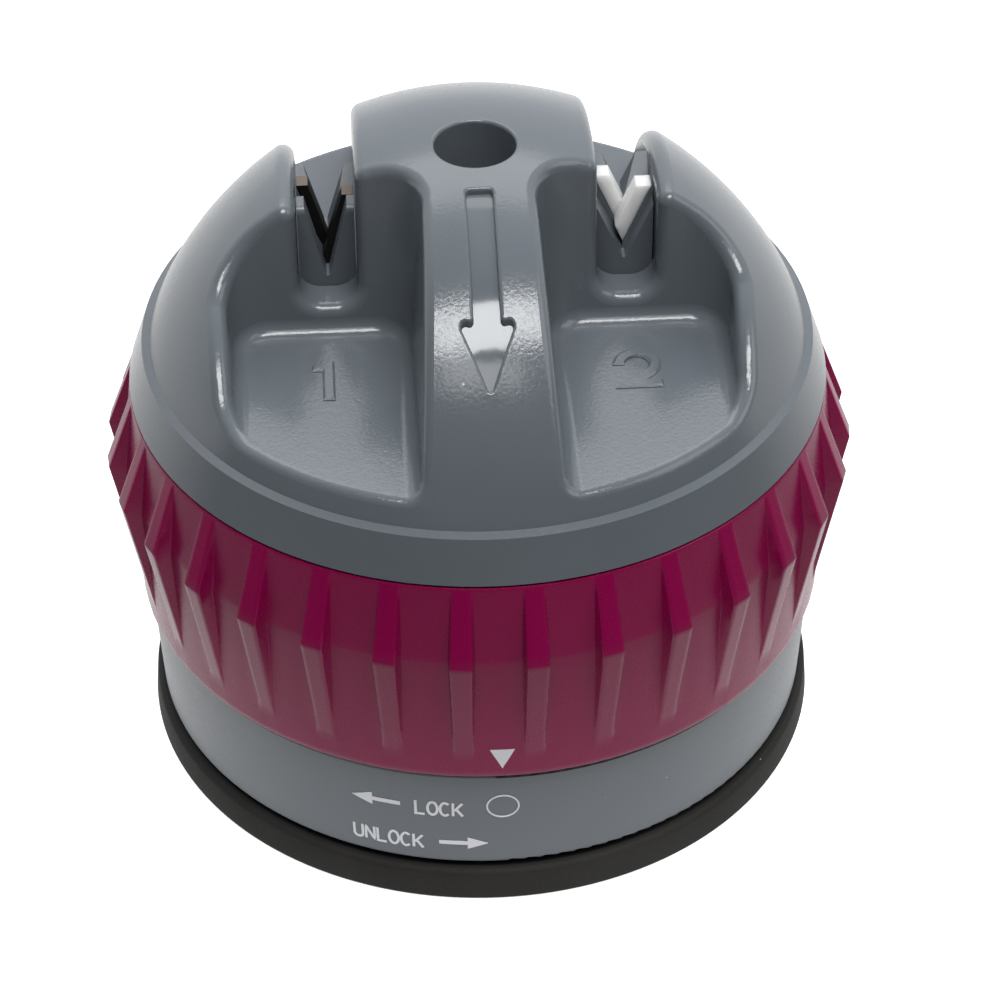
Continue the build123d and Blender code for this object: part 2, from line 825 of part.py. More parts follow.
def notch_outline(centre, bottom, angle):
    """Corners of an upright V notch that is open at the top."""
    top = cartridge_top + cartridge_gap
    half_bottom = notch_bottom_width / 2
    half_top = half_bottom + (top - bottom) * tan(radians(angle))
    return [
        (centre - half_bottom, bottom),
        (centre + half_bottom, bottom),
        (centre + half_top, top),
        (centre - half_top, top),
    ]


def pocket_outline(centre, side, bottom):
    """Corners of the space in front of the rear bar, open to the cartridge's side at the top."""
    outer = centre + side * (cartridge_half + cartridge_gap)
    top = cartridge_top + cartridge_gap
    return [
        (centre, bottom),
        (centre, top),
        (outer, top),
        (outer, cartridge_top - pocket_drop),
    ]


def upright_plate(corners, front, thickness, grow=0.0):
    """Plate with a given front outline, from its front plane backward, larger by grow all round."""
    with BuildPart() as made:
        with BuildSketch(Plane.XZ.offset(grow - front)):
            with BuildLine():
                Polyline(*corners, close=True)
            make_face()
            if grow > 0:
                offset(amount=grow, kind=Kind.INTERSECTION)
        extrude(amount=-thickness - 2 * grow)
    return made.part


def cartridge(centre, notch_bottom, notch_angle, body_notch, bar_plane, bars, thickness):
    """Plastic insert: V notch, grooves for two crossed bars, and a drilled tang through the slot floor."""
    rear_plane = bar_plane + thickness + bar_layer_gap
    top = cartridge_top + cartridge_gap
    rear_end = cartridge_back + cartridge_gap
    with BuildPart() as made:
        with BuildSketch(Plane.XY.offset(well_floor)):
            with Locations((centre, tang_middle)):
                Rectangle(2 * cartridge_half, cartridge_length)
        extrude(amount=cartridge_height)
        fillet(made.edges().group_by(Axis.Z)[-1].sort_by(Axis.Y)[0], cartridge_round)
        with BuildSketch(Plane.XY.offset(tang_bottom)):
            with Locations((centre, tang_middle)):
                Rectangle(tang_width, tang_length)
        extrude(amount=well_floor - tang_bottom)
        front_notch = notch_outline(centre, notch_bottom, notch_angle)
        add(upright_plate(front_notch, cartridge_front, bar_plane - cartridge_front), mode=Mode.SUBTRACT)
        add(upright_plate(body_notch, bar_plane, cartridge_length), mode=Mode.SUBTRACT)
        pocket = pocket_outline(centre, -1, notch_bottom)
        add(upright_plate(pocket, bar_plane, rear_plane - bar_plane), mode=Mode.SUBTRACT)
        for side, front, corners in zip((1, -1), (bar_plane, rear_plane), bars):
            add(upright_plate(corners, front, thickness, bar_clearance), mode=Mode.SUBTRACT)
            # the arm behind each bar slopes down toward it
            back = front + thickness
            drop = (rear_end - back) * tan(radians(rear_slope))
            with BuildSketch(Plane.YZ.offset(centre)):
                with BuildLine():
                    Polyline((back, top), (back, top - drop), (rear_end, top), close=True)
                make_face()
            extrude(amount=side * slot_width / 2, mode=Mode.SUBTRACT)
        with BuildSketch(Plane.XY.offset(tang_bottom)):
            with Locations((centre, tang_middle)):
                Circle(clamp_screw_radius + screw_fit)
        extrude(amount=clamp_screw_bite + hole_end_gap, mode=Mode.SUBTRACT)
    return made.part


carbide_apex = apex_of(carbide_width, carbide_angle, carbide_side_margin)
ceramic_apex = apex_of(ceramic_width, ceramic_angle, ceramic_side_margin)
carbide_right_corners = bar_outline(coarse_centre, 1, carbide_width, carbide_apex, carbide_angle)
carbide_left_corners = bar_outline(coarse_centre, -1, carbide_width, carbide_apex, carbide_angle)
ceramic_right_corners = bar_outline(fine_centre, 1, ceramic_width, ceramic_apex, ceramic_angle)
ceramic_left_corners = bar_outline(fine_centre, -1, ceramic_width, ceramic_apex, ceramic_angle)
carbide_rear_plane = coarse_bar_plane + carbide_thickness + bar_layer_gap
ceramic_rear_plane = fine_bar_plane + ceramic_thickness + bar_layer_gap

with BuildPart() as carbide_bar_right:
    add(upright_plate(carbide_right_corners, coarse_bar_plane, carbide_thickness))

with BuildPart() as carbide_bar_left:
    add(upright_plate(carbide_left_corners, carbide_rear_plane, carbide_thickness))

with BuildPart() as ceramic_bar_right:
    add(upright_plate(ceramic_right_corners, fine_bar_plane, ceramic_thickness))

with BuildPart() as ceramic_bar_left:
    add(upright_plate(ceramic_left_corners, ceramic_rear_plane, ceramic_thickness))

with BuildPart() as coarse_cartridge:
    add(
        cartridge(
            coarse_centre,
            well_floor + coarse_notch_rise,
            coarse_notch_angle,
            notch_outline(coarse_centre, carbide_apex - bar_proud, carbide_angle),
            coarse_bar_plane,
            [carbide_right_corners, carbide_left_corners],
            carbide_thickness,
        )
    )

with BuildPart() as fine_cartridge:
    add(
        cartridge(
            fine_centre,
            well_floor + fine_notch_rise,
            fine_notch_angle,
            notch_outline(fine_centre, ceramic_apex - bar_proud, ceramic_angle),
            fine_bar_plane,
            [ceramic_right_corners, ceramic_left_corners],
            ceramic_thickness,
        )
    )

# Clamp plates that pull the cartridges down on the slot floors
with BuildPart() as coarse_clamp:
    with BuildSketch(Plane.XY.offset(clamp_bottom)):
        with Locations((coarse_centre, tang_middle)):
            Rectangle(clamp_width, clamp_length)
            Circle(clamp_screw_radius + screw_fit, mode=Mode.SUBTRACT)
    extrude(amount=clamp_thickness)

with BuildPart() as fine_clamp:
    with BuildSketch(Plane.XY.offset(clamp_bottom)):
        with Locations((fine_centre, tang_middle)):
            Rectangle(clamp_width, clamp_length)
            Circle(clamp_screw_radius + screw_fit, mode=Mode.SUBTRACT)
    extrude(amount=clamp_thickness)

with BuildPart() as clamp_screws:
    for centre in (coarse_centre, fine_centre):
        add(
            screw(
                Plane((centre, tang_middle, clamp_bottom)),
                clamp_screw_head,
                clamp_screw_head_height,
                clamp_screw_radius,
                tang_bottom - clamp_bottom + clamp_screw_bite,
            )
        )

# Centre screw at the bottom of the hole in the top
with BuildPart() as centre_washer:
    with BuildSketch(Plane.XY.offset(hole_bottom)):
        Circle(centre_washer_radius)
        Circle(centre_screw_radius + screw_fit, mode=Mode.SUBTRACT)
    extrude(amount=centre_washer_thickness)

centre_seat = hole_bottom + centre_washer_thickness
with BuildPart() as centre_screw:
    add(
        screw(
            Plane((0, 0, centre_seat), z_dir=(0, 0, -1)),
            centre_screw_head,
            centre_screw_head_height,
            centre_screw_radius,
            centre_seat - screw_tip,
        )
    )

# Return spring in the column, over the stud: a helix of quarter-turn pairs of arcs
coil_radius = bore_radius - spring_side_gap - wire_radius
spring_bottom = stud_top + spring_end_gap + wire_radius
spring_top = bore_top - spring_end_gap - wire_radius
spring_turns = int((spring_top - spring_bottom) / spring_pitch)
spring_rise = (spring_top - spring_bottom) / spring_turns
quarters = 4 * spring_turns


def coil_point(quarter):
    """Point of the wire's centre line after a number of quarter turns."""
    angle = quarter * pi / 2
    height = spring_bottom + spring_rise * quarter / 4
    return Vector(coil_radius * cos(angle), coil_radius * sin(angle), height)


def coil_heading(quarter):
    """Direction of the wire there."""
    angle = quarter * pi / 2
    return Vector(-coil_radius * sin(angle), coil_radius * cos(angle), spring_rise / (2 * pi)).normalized()


with BuildPart() as return_spring:
    with BuildLine() as coil:
        for quarter in range(quarters):
            start = coil_point(quarter)
            end = coil_point(quarter + 1)
            leave = coil_heading(quarter)
            arrive = coil_heading(quarter + 1)
            chord = end - start
            spread = 2 * (1 - leave.dot(arrive))
            along = chord.dot(leave + arrive)
            reach = (sqrt(along**2 + spread * chord.dot(chord)) - along) / spread
            joint = (start + end + (leave - arrive) * reach) / 2
            middle = (end - arrive * reach) - (start + leave * reach)
            TangentArc(start, joint, tangent=leave)
            TangentArc(joint, end, tangent=middle)
    with BuildSketch(Plane(coil_point(0), z_dir=coil_heading(0))):
        Circle(wire_radius)
    sweep(path=coil.wires()[0])

samples_per_turn = 40
samples = samples_per_turn * spring_turns
spots = [coil.wires()[0] @ (number / samples) for number in range(samples + 1)]
half_turn = samples_per_turn // 2
least_gap = min(
    (spots[first] - spots[second]).length
    for first in range(len(spots))
    for second in range(first + half_turn, len(spots))
)
print("least gap between spring turns", round(least_gap - 2 * wire_radius, 2))

nodes = {
    "suction_cup": suction_cup,
    "lift_stud": lift_stud,
    "cup_washer": cup_washer,
    "cup_nut": cup_nut,
    "lift_pin": lift_pin,
    "return_spring": return_spring,
    "base_housing": base_housing,
    "lower_glide_washer": lower_glide_washer,
    "cam_carrier": cam_carrier,
    "carrier_screws": carrier_screws,
    "twist_ring": twist_ring,
    "upper_glide_washer": upper_glide_washer,
    "chassis": chassis,
    "chassis_screws": chassis_screws,
    "centre_washer": centre_washer,
    "centre_screw": centre_screw,
    "coarse_clamp": coarse_clamp,
    "fine_clamp": fine_clamp,
    "clamp_screws": clamp_screws,
    "coarse_cartridge": coarse_cartridge,
    "carbide_bar_left": carbide_bar_left,
    "carbide_bar_right": carbide_bar_right,
    "fine_cartridge": fine_cartridge,
    "ceramic_bar_left": ceramic_bar_left,
    "ceramic_bar_right": ceramic_bar_right,
    "top_housing": top_housing,
}
for label, node in nodes.items():
    node.part.label = label
    export_step(node.part, f"parts/{label}.step")
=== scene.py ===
import math

import bpy
from mathutils import Matrix, Vector


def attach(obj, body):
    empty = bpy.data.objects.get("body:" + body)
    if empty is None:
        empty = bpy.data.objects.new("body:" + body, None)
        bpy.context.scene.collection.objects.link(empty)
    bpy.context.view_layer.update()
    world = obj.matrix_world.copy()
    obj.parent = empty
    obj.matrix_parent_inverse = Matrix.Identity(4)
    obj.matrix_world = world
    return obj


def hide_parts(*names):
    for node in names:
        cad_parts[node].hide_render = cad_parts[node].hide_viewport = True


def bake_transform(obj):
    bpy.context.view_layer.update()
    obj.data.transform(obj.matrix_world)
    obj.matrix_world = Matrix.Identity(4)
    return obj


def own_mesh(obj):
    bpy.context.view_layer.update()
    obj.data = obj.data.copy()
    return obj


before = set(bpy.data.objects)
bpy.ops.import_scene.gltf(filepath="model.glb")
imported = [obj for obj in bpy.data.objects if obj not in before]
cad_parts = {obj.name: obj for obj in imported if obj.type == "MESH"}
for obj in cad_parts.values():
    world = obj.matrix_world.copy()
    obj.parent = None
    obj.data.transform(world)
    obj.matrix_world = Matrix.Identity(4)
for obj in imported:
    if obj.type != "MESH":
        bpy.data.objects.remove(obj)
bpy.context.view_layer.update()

MM = 0.001
TURN = 2 * math.pi
scene = bpy.context.scene


def on_line(points, z):
    """Radius at height z on a line of (radius, height) points."""
    for (r0, z0), (r1, z1) in zip(points, points[1:]):
        if z <= z1:
            break
    return r0 + (r1 - r0) * (z - z0) / (z1 - z0)


# Materials: sizes in millimetres

NOISE_LOW, NOISE_HIGH = 0.3, 0.7
NOISE_DETAIL = 2.0
DRIFT_SIZE, DRIFT_DETAIL = 14.0, 3.0
UP_FROM, UP_FULL = 0.6, 0.8
DEPTH_TINT = (1.0, 0.97, 0.92)
MIX_A, MIX_B, MIX_RESULT = 6, 7, 2
DOME_CENTRE = 33.5
ARROW_HALF, ARROW_TIP, ARROW_TAIL, ARROW_LEVEL = 2.9, 26.6, 7.2, 36.25
ARROW_ROUGH = 0.09


def shader_of(material):
    material.use_nodes = True
    tree = material.node_tree
    return tree, tree.nodes, tree.nodes["Principled BSDF"]


def noise(tree, coords, grain_mm, detail=NOISE_DETAIL):
    node = tree.nodes.new("ShaderNodeTexNoise")
    node.inputs["Scale"].default_value = 1 / (grain_mm * MM)
    node.inputs["Detail"].default_value = detail
    tree.links.new(coords, node.inputs["Vector"])
    return node.outputs["Fac"]


def spread(tree, value, low, high, low_at=NOISE_LOW, high_at=NOISE_HIGH):
    """A value mapped from one range to another, whose ends are numbers or sockets."""
    node = tree.nodes.new("ShaderNodeMapRange")
    node.inputs["From Min"].default_value = low_at
    node.inputs["From Max"].default_value = high_at
    for socket, level in ((node.inputs["To Min"], low), (node.inputs["To Max"], high)):
        if isinstance(level, float):
            socket.default_value = level
        else:
            tree.links.new(level, socket)
    tree.links.new(value, node.inputs["Value"])
    return node.outputs["Result"]


def blend_colour(tree, factor, first, second):
    node = tree.nodes.new("ShaderNodeMix")
    node.data_type = "RGBA"
    tree.links.new(factor, node.inputs["Factor"])
    for socket, colour in ((node.inputs[MIX_A], first), (node.inputs[MIX_B], second)):
        if isinstance(colour, tuple):
            socket.default_value = (*colour, 1.0)
        else:
            tree.links.new(colour, socket)
    return node.outputs[MIX_RESULT]


def number(tree, operation, first, second=0.0):
    """A Math node on numbers or sockets."""
    node = tree.nodes.new("ShaderNodeMath")
    node.operation = operation
    for socket, value in zip(node.inputs, (first, second)):
        if isinstance(value, float):
            socket.default_value = value
        else:
            tree.links.new(value, socket)
    return node.outputs[0]


def specks(tree, coords, cell_mm, size, share):
    """Sparse dots: small discs in a few of the cells."""
    cells = tree.nodes.new("ShaderNodeTexVoronoi")
    cells.inputs["Scale"].default_value = 1 / (cell_mm * MM)
    tree.links.new(coords, cells.inputs["Vector"])
    parts = tree.nodes.new("ShaderNodeSeparateColor")
    tree.links.new(cells.outputs["Color"], parts.inputs["Color"])
    near = number(tree, "LESS_THAN", cells.outputs["Distance"], size)
    chosen = number(tree, "LESS_THAN", parts.outputs["Red"], share)
    return number(tree, "MULTIPLY", near, chosen)


def arrow_floor(tree, coords, gloss):
    """Roughness and grain strength of the dome: polished on the floor of the sunk arrow."""
    place = tree.nodes.new("ShaderNodeSeparateXYZ")
    tree.links.new(coords, place.inputs[0])
    reach = tree.nodes.new("ShaderNodeVectorMath")
    reach.operation = "DISTANCE"
    reach.inputs[1].default_value = (0, 0, DOME_CENTRE * MM)
    tree.links.new(coords, reach.inputs[0])
    across = number(tree, "LESS_THAN", number(tree, "ABSOLUTE", place.outputs["X"]), ARROW_HALF * MM)
    ahead = number(tree, "GREATER_THAN", place.outputs["Y"], -ARROW_TIP * MM)
    behind = number(tree, "LESS_THAN", place.outputs["Y"], -ARROW_TAIL * MM)
    below = number(tree, "LESS_THAN", reach.outputs["Value"], ARROW_LEVEL * MM)
    along = number(tree, "MULTIPLY", ahead, behind)
    inside = number(tree, "MULTIPLY", number(tree, "MULTIPLY", across, along), below)
    gloss = spread(tree, inside, gloss, ARROW_ROUGH, 0.0, 1.0)
    return gloss, number(tree, "SUBTRACT", 1.0, inside)


def finish(name, *, colour, shade, rough, grain_mm, depth_um, metal=0.0, specular=0.5, dust=None, mask=None,
           painted_top_light=None, depth_mm=0.0):
    """A moulded, ground or plated surface: colour drift, uneven gloss and a fine grain."""
    material = bpy.data.materials.new(name)
    tree, nodes, shader = shader_of(material)
    shader.inputs["Metallic"].default_value = metal
    shader.inputs["Specular IOR Level"].default_value = specular
    if depth_mm:
        shader.inputs["Subsurface Weight"].default_value = 1.0
        shader.inputs["Subsurface Radius"].default_value = DEPTH_TINT
        shader.inputs["Subsurface Scale"].default_value = depth_mm * MM
    coords = nodes.new("ShaderNodeTexCoord").outputs["Object"]
    drift = spread(tree, noise(tree, coords, DRIFT_SIZE, DRIFT_DETAIL), 0.0, 1.0)
    tint = blend_colour(tree, drift, colour, shade)
    if dust:
        dots = specks(tree, coords, dust["cell_mm"], dust["size"], dust["share"])
        tint = blend_colour(tree, dots, tint, dust["colour"])
    # painted light: faces turned upwards are blended towards a lighter tint, as if lit from above
    if painted_top_light:
        facing = nodes.new("ShaderNodeSeparateXYZ")
        tree.links.new(nodes.new("ShaderNodeNewGeometry").outputs["True Normal"], facing.inputs[0])
        tint = blend_colour(tree, spread(tree, facing.outputs["Z"], 0.0, 1.0, UP_FROM, UP_FULL), tint, painted_top_light)
    tree.links.new(tint, shader.inputs["Base Color"])
    grain = noise(tree, coords, grain_mm)
    gloss = spread(tree, grain, *rough)
    bump = nodes.new("ShaderNodeBump")
    bump.inputs["Distance"].default_value = depth_um * MM * MM
    tree.links.new(grain, bump.inputs["Height"])
    if mask:
        gloss, strength = mask(tree, coords, gloss)
        tree.links.new(strength, bump.inputs["Strength"])
    tree.links.new(gloss, shader.inputs["Roughness"])
    tree.links.new(bump.outputs["Normal"], shader.inputs["Normal"])
    return material


GREY, GREY_SHADE = (0.112, 0.128, 0.145), (0.12, 0.137, 0.154)
PLUM, PLUM_SHADE = (0.215, 0.0012, 0.053), (0.23, 0.002, 0.058)
# painted light: the lighter tint laid on the up-facing faces of the dark bars, standing in for light from
# above
PAINTED_TOP_LIGHT = (0.13, 0.1, 0.078)
LOOKS = {
    "dome_plastic": dict(
        colour=GREY, shade=GREY_SHADE, rough=(0.13, 0.22), grain_mm=0.35, depth_um=18, mask=arrow_floor,
        dust=dict(colour=(0.5, 0.5, 0.5), cell_mm=2.6, size=0.045, share=0.05)),
    "base_plastic": dict(
        colour=GREY, shade=GREY_SHADE, rough=(0.33, 0.42), grain_mm=0.3, depth_um=8, specular=0.42,
        dust=dict(colour=(0.5, 0.5, 0.5), cell_mm=2.2, size=0.04, share=0.05)),
    "cartridge_plastic": dict(
        colour=GREY, shade=GREY_SHADE, rough=(0.3, 0.4), grain_mm=0.3, depth_um=10),
    "ring_plastic": dict(
        colour=PLUM, shade=PLUM_SHADE, rough=(0.22, 0.3), grain_mm=0.3, depth_um=8, specular=0.2,
        dust=dict(colour=(0.55, 0.3, 0.4), cell_mm=2.4, size=0.035, share=0.06)),
    "foot_rubber": dict(
        colour=(0.019, 0.018, 0.017), shade=(0.026, 0.025, 0.024), rough=(0.6, 0.75), grain_mm=0.25,
        depth_um=22, specular=0.15, dust=dict(colour=(0.3, 0.3, 0.28), cell_mm=1.6, size=0.05, share=0.08)),
    # carbide: black, with painted light on its up-facing faces
    "carbide": dict(
        colour=(0.005, 0.0045, 0.0045), shade=(0.008, 0.0075, 0.0075), rough=(0.3, 0.45), grain_mm=0.2,
        depth_um=8, specular=0.3, painted_top_light=PAINTED_TOP_LIGHT),
    "ceramic": dict(
        colour=(0.93, 0.92, 0.88), shade=(0.88, 0.87, 0.83), rough=(0.4, 0.55), grain_mm=0.15,
        depth_um=8, depth_mm=2.0),
    "inner_plastic": dict(
        colour=(0.05, 0.052, 0.055), shade=(0.06, 0.062, 0.066), rough=(0.4, 0.5), grain_mm=0.4, depth_um=15),
    "glide_plastic": dict(
        colour=(0.62, 0.6, 0.55), shade=(0.56, 0.54, 0.5), rough=(0.35, 0.45), grain_mm=0.4, depth_um=8),
    "bright_steel": dict(
        colour=(0.62, 0.62, 0.63), shade=(0.55, 0.55, 0.57), rough=(0.2, 0.34), grain_mm=0.25, depth_um=6,
        metal=1.0),
    "zinc_steel": dict(
        colour=(0.5, 0.51, 0.54), shade=(0.44, 0.45, 0.47), rough=(0.3, 0.45), grain_mm=0.3, depth_um=10,
        metal=1.0),
    "print": dict(
        colour=(0.72, 0.72, 0.76), shade=(0.68, 0.68, 0.72), rough=(0.5, 0.6), grain_mm=0.15, depth_um=4),
}
finishes = {name: finish(name, **look) for name, look in LOOKS.items()}

# Meshes: corners in millimetres

SHARP_ANGLE = 25.0


def add_piece(name, verts, faces, slot, body, *, replaces=None, look=None, sharp=SHARP_ANGLE):
    """A mesh piece from corners in millimetres, on its body and in its material slot."""
    mesh = bpy.data.meshes.new(name)
    mesh.from_pydata([tuple(c * MM for c in v) for v in verts], [], faces)
    mesh.validate()
    mesh.shade_smooth()
    mesh.set_sharp_from_angle(angle=math.radians(sharp))
    mesh.materials.append(finishes[look or slot])
    piece = bpy.data.objects.new(name, mesh)
    scene.collection.objects.link(piece)
    if body:
        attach(piece, body)
    if replaces:
        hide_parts(replaces)
    return piece


def loop_faces(rows, columns, *, close_rows=True):
    """Quads of a grid of rows x columns whose columns close; corner index is row * columns + column."""
    faces = []
    for i in range(rows if close_rows else rows - 1):
        for j in range(columns):
            ni, nj = (i + 1) % rows, (j + 1) % columns
            faces.append((i * columns + j, i * columns + nj, ni * columns + nj, ni * columns + j))
    return faces


def lathe(section, steps):
    """A closed section of (radius, height) points, listed with its inside on the left, turned full circle."""
    verts = []
    for r, z in section:
        for k in range(steps):
            a = TURN * k / steps
            verts.append((r * math.cos(a), r * math.sin(a), z))
    return verts, loop_faces(len(section), steps)


# Grip ring: rows of corners as (inset, height), closer together at the creases and rib ends

RIB_COUNT, RIB_PHASE = 32, 0.5
BARREL = [(36.4, 17.75), (37.3, 33.95), (36.2, 42.7)]
RIB_LINE = [(36.572, 20.85), (39.1, 34.6), (36.238, 42.4)]
RIB_END_HALF, RIB_PEAK_HALF = 0.97, 1.15
RIB_EDGE, RIB_EDGE_SHARE, EDGE_EASE = 0.17, 0.45, 0.02
RIB_FOOT, RIB_FOOT_SHARE, RIB_LEAN = 0.22, 0.5, 0.05
FOOT_START, FOOT_MIDDLE, FOOT_END = 0.04, 0.06, 0.3
FACE_SHARE, GAP_SHARES = 0.5, (0.25, 0.5, 0.75)
ROUND_CUT = 1 - math.sqrt(0.5)
RING_HEIGHTS = [18.05, 18.6, 19.8, 20.85, 21.35, 22.35, 24.0, 26.0, 28.0, 30.0, 32.0, 33.83, 34.07,
                34.55, 34.65, 35.8, 37.2, 38.6, 40.0, 41.0, 41.7, 42.1, 42.4]
RING_SKIN = [(0.3, 17.75), (0.09, 17.84), *((0.0, z) for z in RING_HEIGHTS),
             (0.02, 42.55), (0.09, 42.64), (0.25, 42.7)]
RING_INSIDE = [(34.0, 42.7), (33.7, 42.4), (33.7, 22.7), (27.1, 22.7), (27.1, 20.7), (33.7, 20.7),
               (33.7, 18.05), (34.0, 17.75)]


def rib_columns(z):
    """Corners of one rib and its gap at height z as (along the radius, across), from left to right."""
    barrel = on_line(BARREL, z)
    face = barrel
    half = RIB_END_HALF
    foot_z, peak_z, head_z = (height for _, height in RIB_LINE)
    if foot_z < z < head_z:
        face = on_line(RIB_LINE, z)
        share = (z - foot_z) / (peak_z - foot_z) if z < peak_z else (head_z - z) / (head_z - peak_z)
        half = RIB_END_HALF + (RIB_PEAK_HALF - RIB_END_HALF) * share
    rise = max(face - barrel, 0.0)
    edge = min(RIB_EDGE, RIB_EDGE_SHARE * rise)
    foot = min(RIB_FOOT, RIB_FOOT_SHARE * rise)
    side = half + RIB_LEAN * rise
    right = [(0.0, face), (FACE_SHARE * half, face), (half - edge - EDGE_EASE, face),
             (half - ROUND_CUT * edge, face - ROUND_CUT * edge), (half + EDGE_EASE, face - edge),
             (side + FOOT_START, barrel + foot),
             (side + FOOT_MIDDLE + ROUND_CUT * foot, barrel + ROUND_CUT * foot),
             (side + FOOT_END + foot, barrel)]
    corners = []
    for t, a in right:
        skin = math.sqrt(barrel ** 2 - t ** 2)
        corners.append((max(a - (barrel - skin) * (a < face), skin), t))
    rib = [(a, -t) for a, t in reversed(corners[1:])] + corners
    last = math.atan2(rib[-1][1], rib[-1][0])
    gap = TURN / RIB_COUNT - 2 * last
    for share in GAP_SHARES:
        angle = last + gap * share
        rib.append((barrel * math.cos(angle), barrel * math.sin(angle)))
    return rib


def grip_ring():
    rows = []
    for inset, z in RING_SKIN:
        rows.append([(math.hypot(a, t) - inset, math.atan2(t, a), z) for a, t in rib_columns(z)])
    for r, z in RING_INSIDE:
        rows.append([(r, angle, z) for _, angle, _ in rows[0]])
    verts = []
    for row in rows:
        for k in range(RIB_COUNT):
            turn = TURN * (k + RIB_PHASE) / RIB_COUNT
            verts += [(r * math.cos(turn + a), r * math.sin(turn + a), z) for r, a, z in row]
    faces = loop_faces(len(rows), len(rows[0]) * RIB_COUNT)
    add_piece("grip_ring", verts, faces, "ring_plastic", "ring", replaces="twist_ring")


grip_ring()

# Rubber foot: rim and upstand stay with the base, the middle rides the lifter, the membrane lies between them
# on no body

RIM_STEPS, BOSS_STEPS = 160, 64
FOOT_RIM = [(29.7, 3.4), (29.1, 0.9), (29.9, 0.1), (30.1, 0.0), (35.75, 0.0), (35.93, 0.07), (36.0, 0.25),
            (35.78, 3.0), (35.68, 3.25), (35.5, 3.42), (35.2, 3.6), (32.7, 3.6), (32.7, 5.6), (33.2, 6.2),
            (32.7, 6.8), (32.7, 7.8), (32.5, 8.0), (29.9, 8.0), (29.7, 7.8)]
FOOT_BOSS = [(3.08, 6.0), (3.08, 2.65), (7.2, 2.65), (7.2, 1.9), (8.3, 1.86), (8.5, 2.0), (8.5, 5.7),
             (8.2, 6.0)]
MEMBRANE_SECTORS, MEMBRANE_STEPS, MEMBRANE_RINGS = 16, 6, 12
MEMBRANE_OUTER, MEMBRANE_INNER, MEMBRANE_LEVEL = 29.4, 8.4, 3.0
# Lines of (height, radius) points
MEMBRANE_UNDER = [(1.86, MEMBRANE_INNER), (0.95, MEMBRANE_OUTER)]
MEMBRANE_OVER = [(5.1, MEMBRANE_INNER), (3.4, MEMBRANE_OUTER)]

add_piece("foot_rim", *lathe(FOOT_RIM, RIM_STEPS), "foot_rubber", "body", replaces="suction_cup")
add_piece("foot_boss", *lathe(FOOT_BOSS, BOSS_STEPS), "foot_rubber", "lifter")


def membrane(index):
    """One sector of the thin rubber between rim and boss."""
    sector = TURN / MEMBRANE_SECTORS
    start = TURN * index / MEMBRANE_SECTORS
    angles = [start + sector * k / MEMBRANE_STEPS for k in range(MEMBRANE_STEPS + 1)]
    width = MEMBRANE_OUTER - MEMBRANE_INNER
    radii = [MEMBRANE_INNER + width * k / MEMBRANE_RINGS for k in range(MEMBRANE_RINGS + 1)]
    section = [(r, on_line(MEMBRANE_UNDER, r)) for r in radii]
    section += [(r, on_line(MEMBRANE_OVER, r)) for r in reversed(radii)]
    verts = [(r * math.cos(a), r * math.sin(a), z) for a in angles for r, z in section]
    columns = len(section)
    faces = [tuple(reversed(f)) for f in loop_faces(len(angles), columns, close_rows=False)]
    faces.append(tuple(range(columns)))
    faces.append(tuple(reversed(range(columns * MEMBRANE_STEPS, columns * (MEMBRANE_STEPS + 1)))))
    piece = add_piece(f"foot_membrane_{index + 1:02d}", verts, faces, "foot_rubber", None)
    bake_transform(piece)


for index in range(MEMBRANE_SECTORS):
    membrane(index)

# Return spring

SPRING_FOOT, SPRING_HEAD = 26.5, 33.95
SPRING_RADIUS, SPRING_WIRE, SPRING_TURNS = 2.43, 0.35, 5
SPRING_STEPS, SPRING_SIDES = 48, 12


def return_spring():
    steps = SPRING_STEPS * SPRING_TURNS
    verts = []
    for k in range(steps + 1):
        a = TURN * SPRING_TURNS * k / steps
        z = SPRING_FOOT + (SPRING_HEAD - SPRING_FOOT) * k / steps
        for s in range(SPRING_SIDES):
            b = TURN * s / SPRING_SIDES
            r = SPRING_RADIUS + SPRING_WIRE * math.cos(b)
            verts.append((r * math.cos(a), r * math.sin(a), z + SPRING_WIRE * math.sin(b)))
    faces = loop_faces(steps + 1, SPRING_SIDES, close_rows=False)
    faces.append(tuple(reversed(range(SPRING_SIDES))))
    faces.append(tuple(range(steps * SPRING_SIDES, (steps + 1) * SPRING_SIDES)))
    piece = add_piece("coil_spring", verts, faces, "bright_steel", "body", replaces="return_spring")
    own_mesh(piece)


return_spring()

# Printed legends: own stroke letters laid on the base, and the pointer on the ring

BASE_CONE = [(35.0, 4.3), (35.7, 17.4)]
PRINT_RISE, PRINT_SINK = 0.05, 0.05
PRINT_STEP, PRINT_SHARP = 0.4, 40.0
BAND_CORNERS = 4
MITRE_LIMIT, ARC_STEPS = 0.3, 14
LETTER_HEIGHT, LETTER_PITCH, LETTER_STROKE = 1.85, 1.29, 0.28
LETTER_SHARE, ROUND_OVER = 0.72, 0.04
C_OPENING, C_STEPS, O_STEPS = 48, 20, 24
K_ARM, K_LEG, K_LEG_START, K_LEG_OVER = 0.42, 0.58, 0.3, 0.05
SHAFT_STROKE, HEAD_STEPS, HEAD_TIP_HALF = 0.5, 6, 0.01
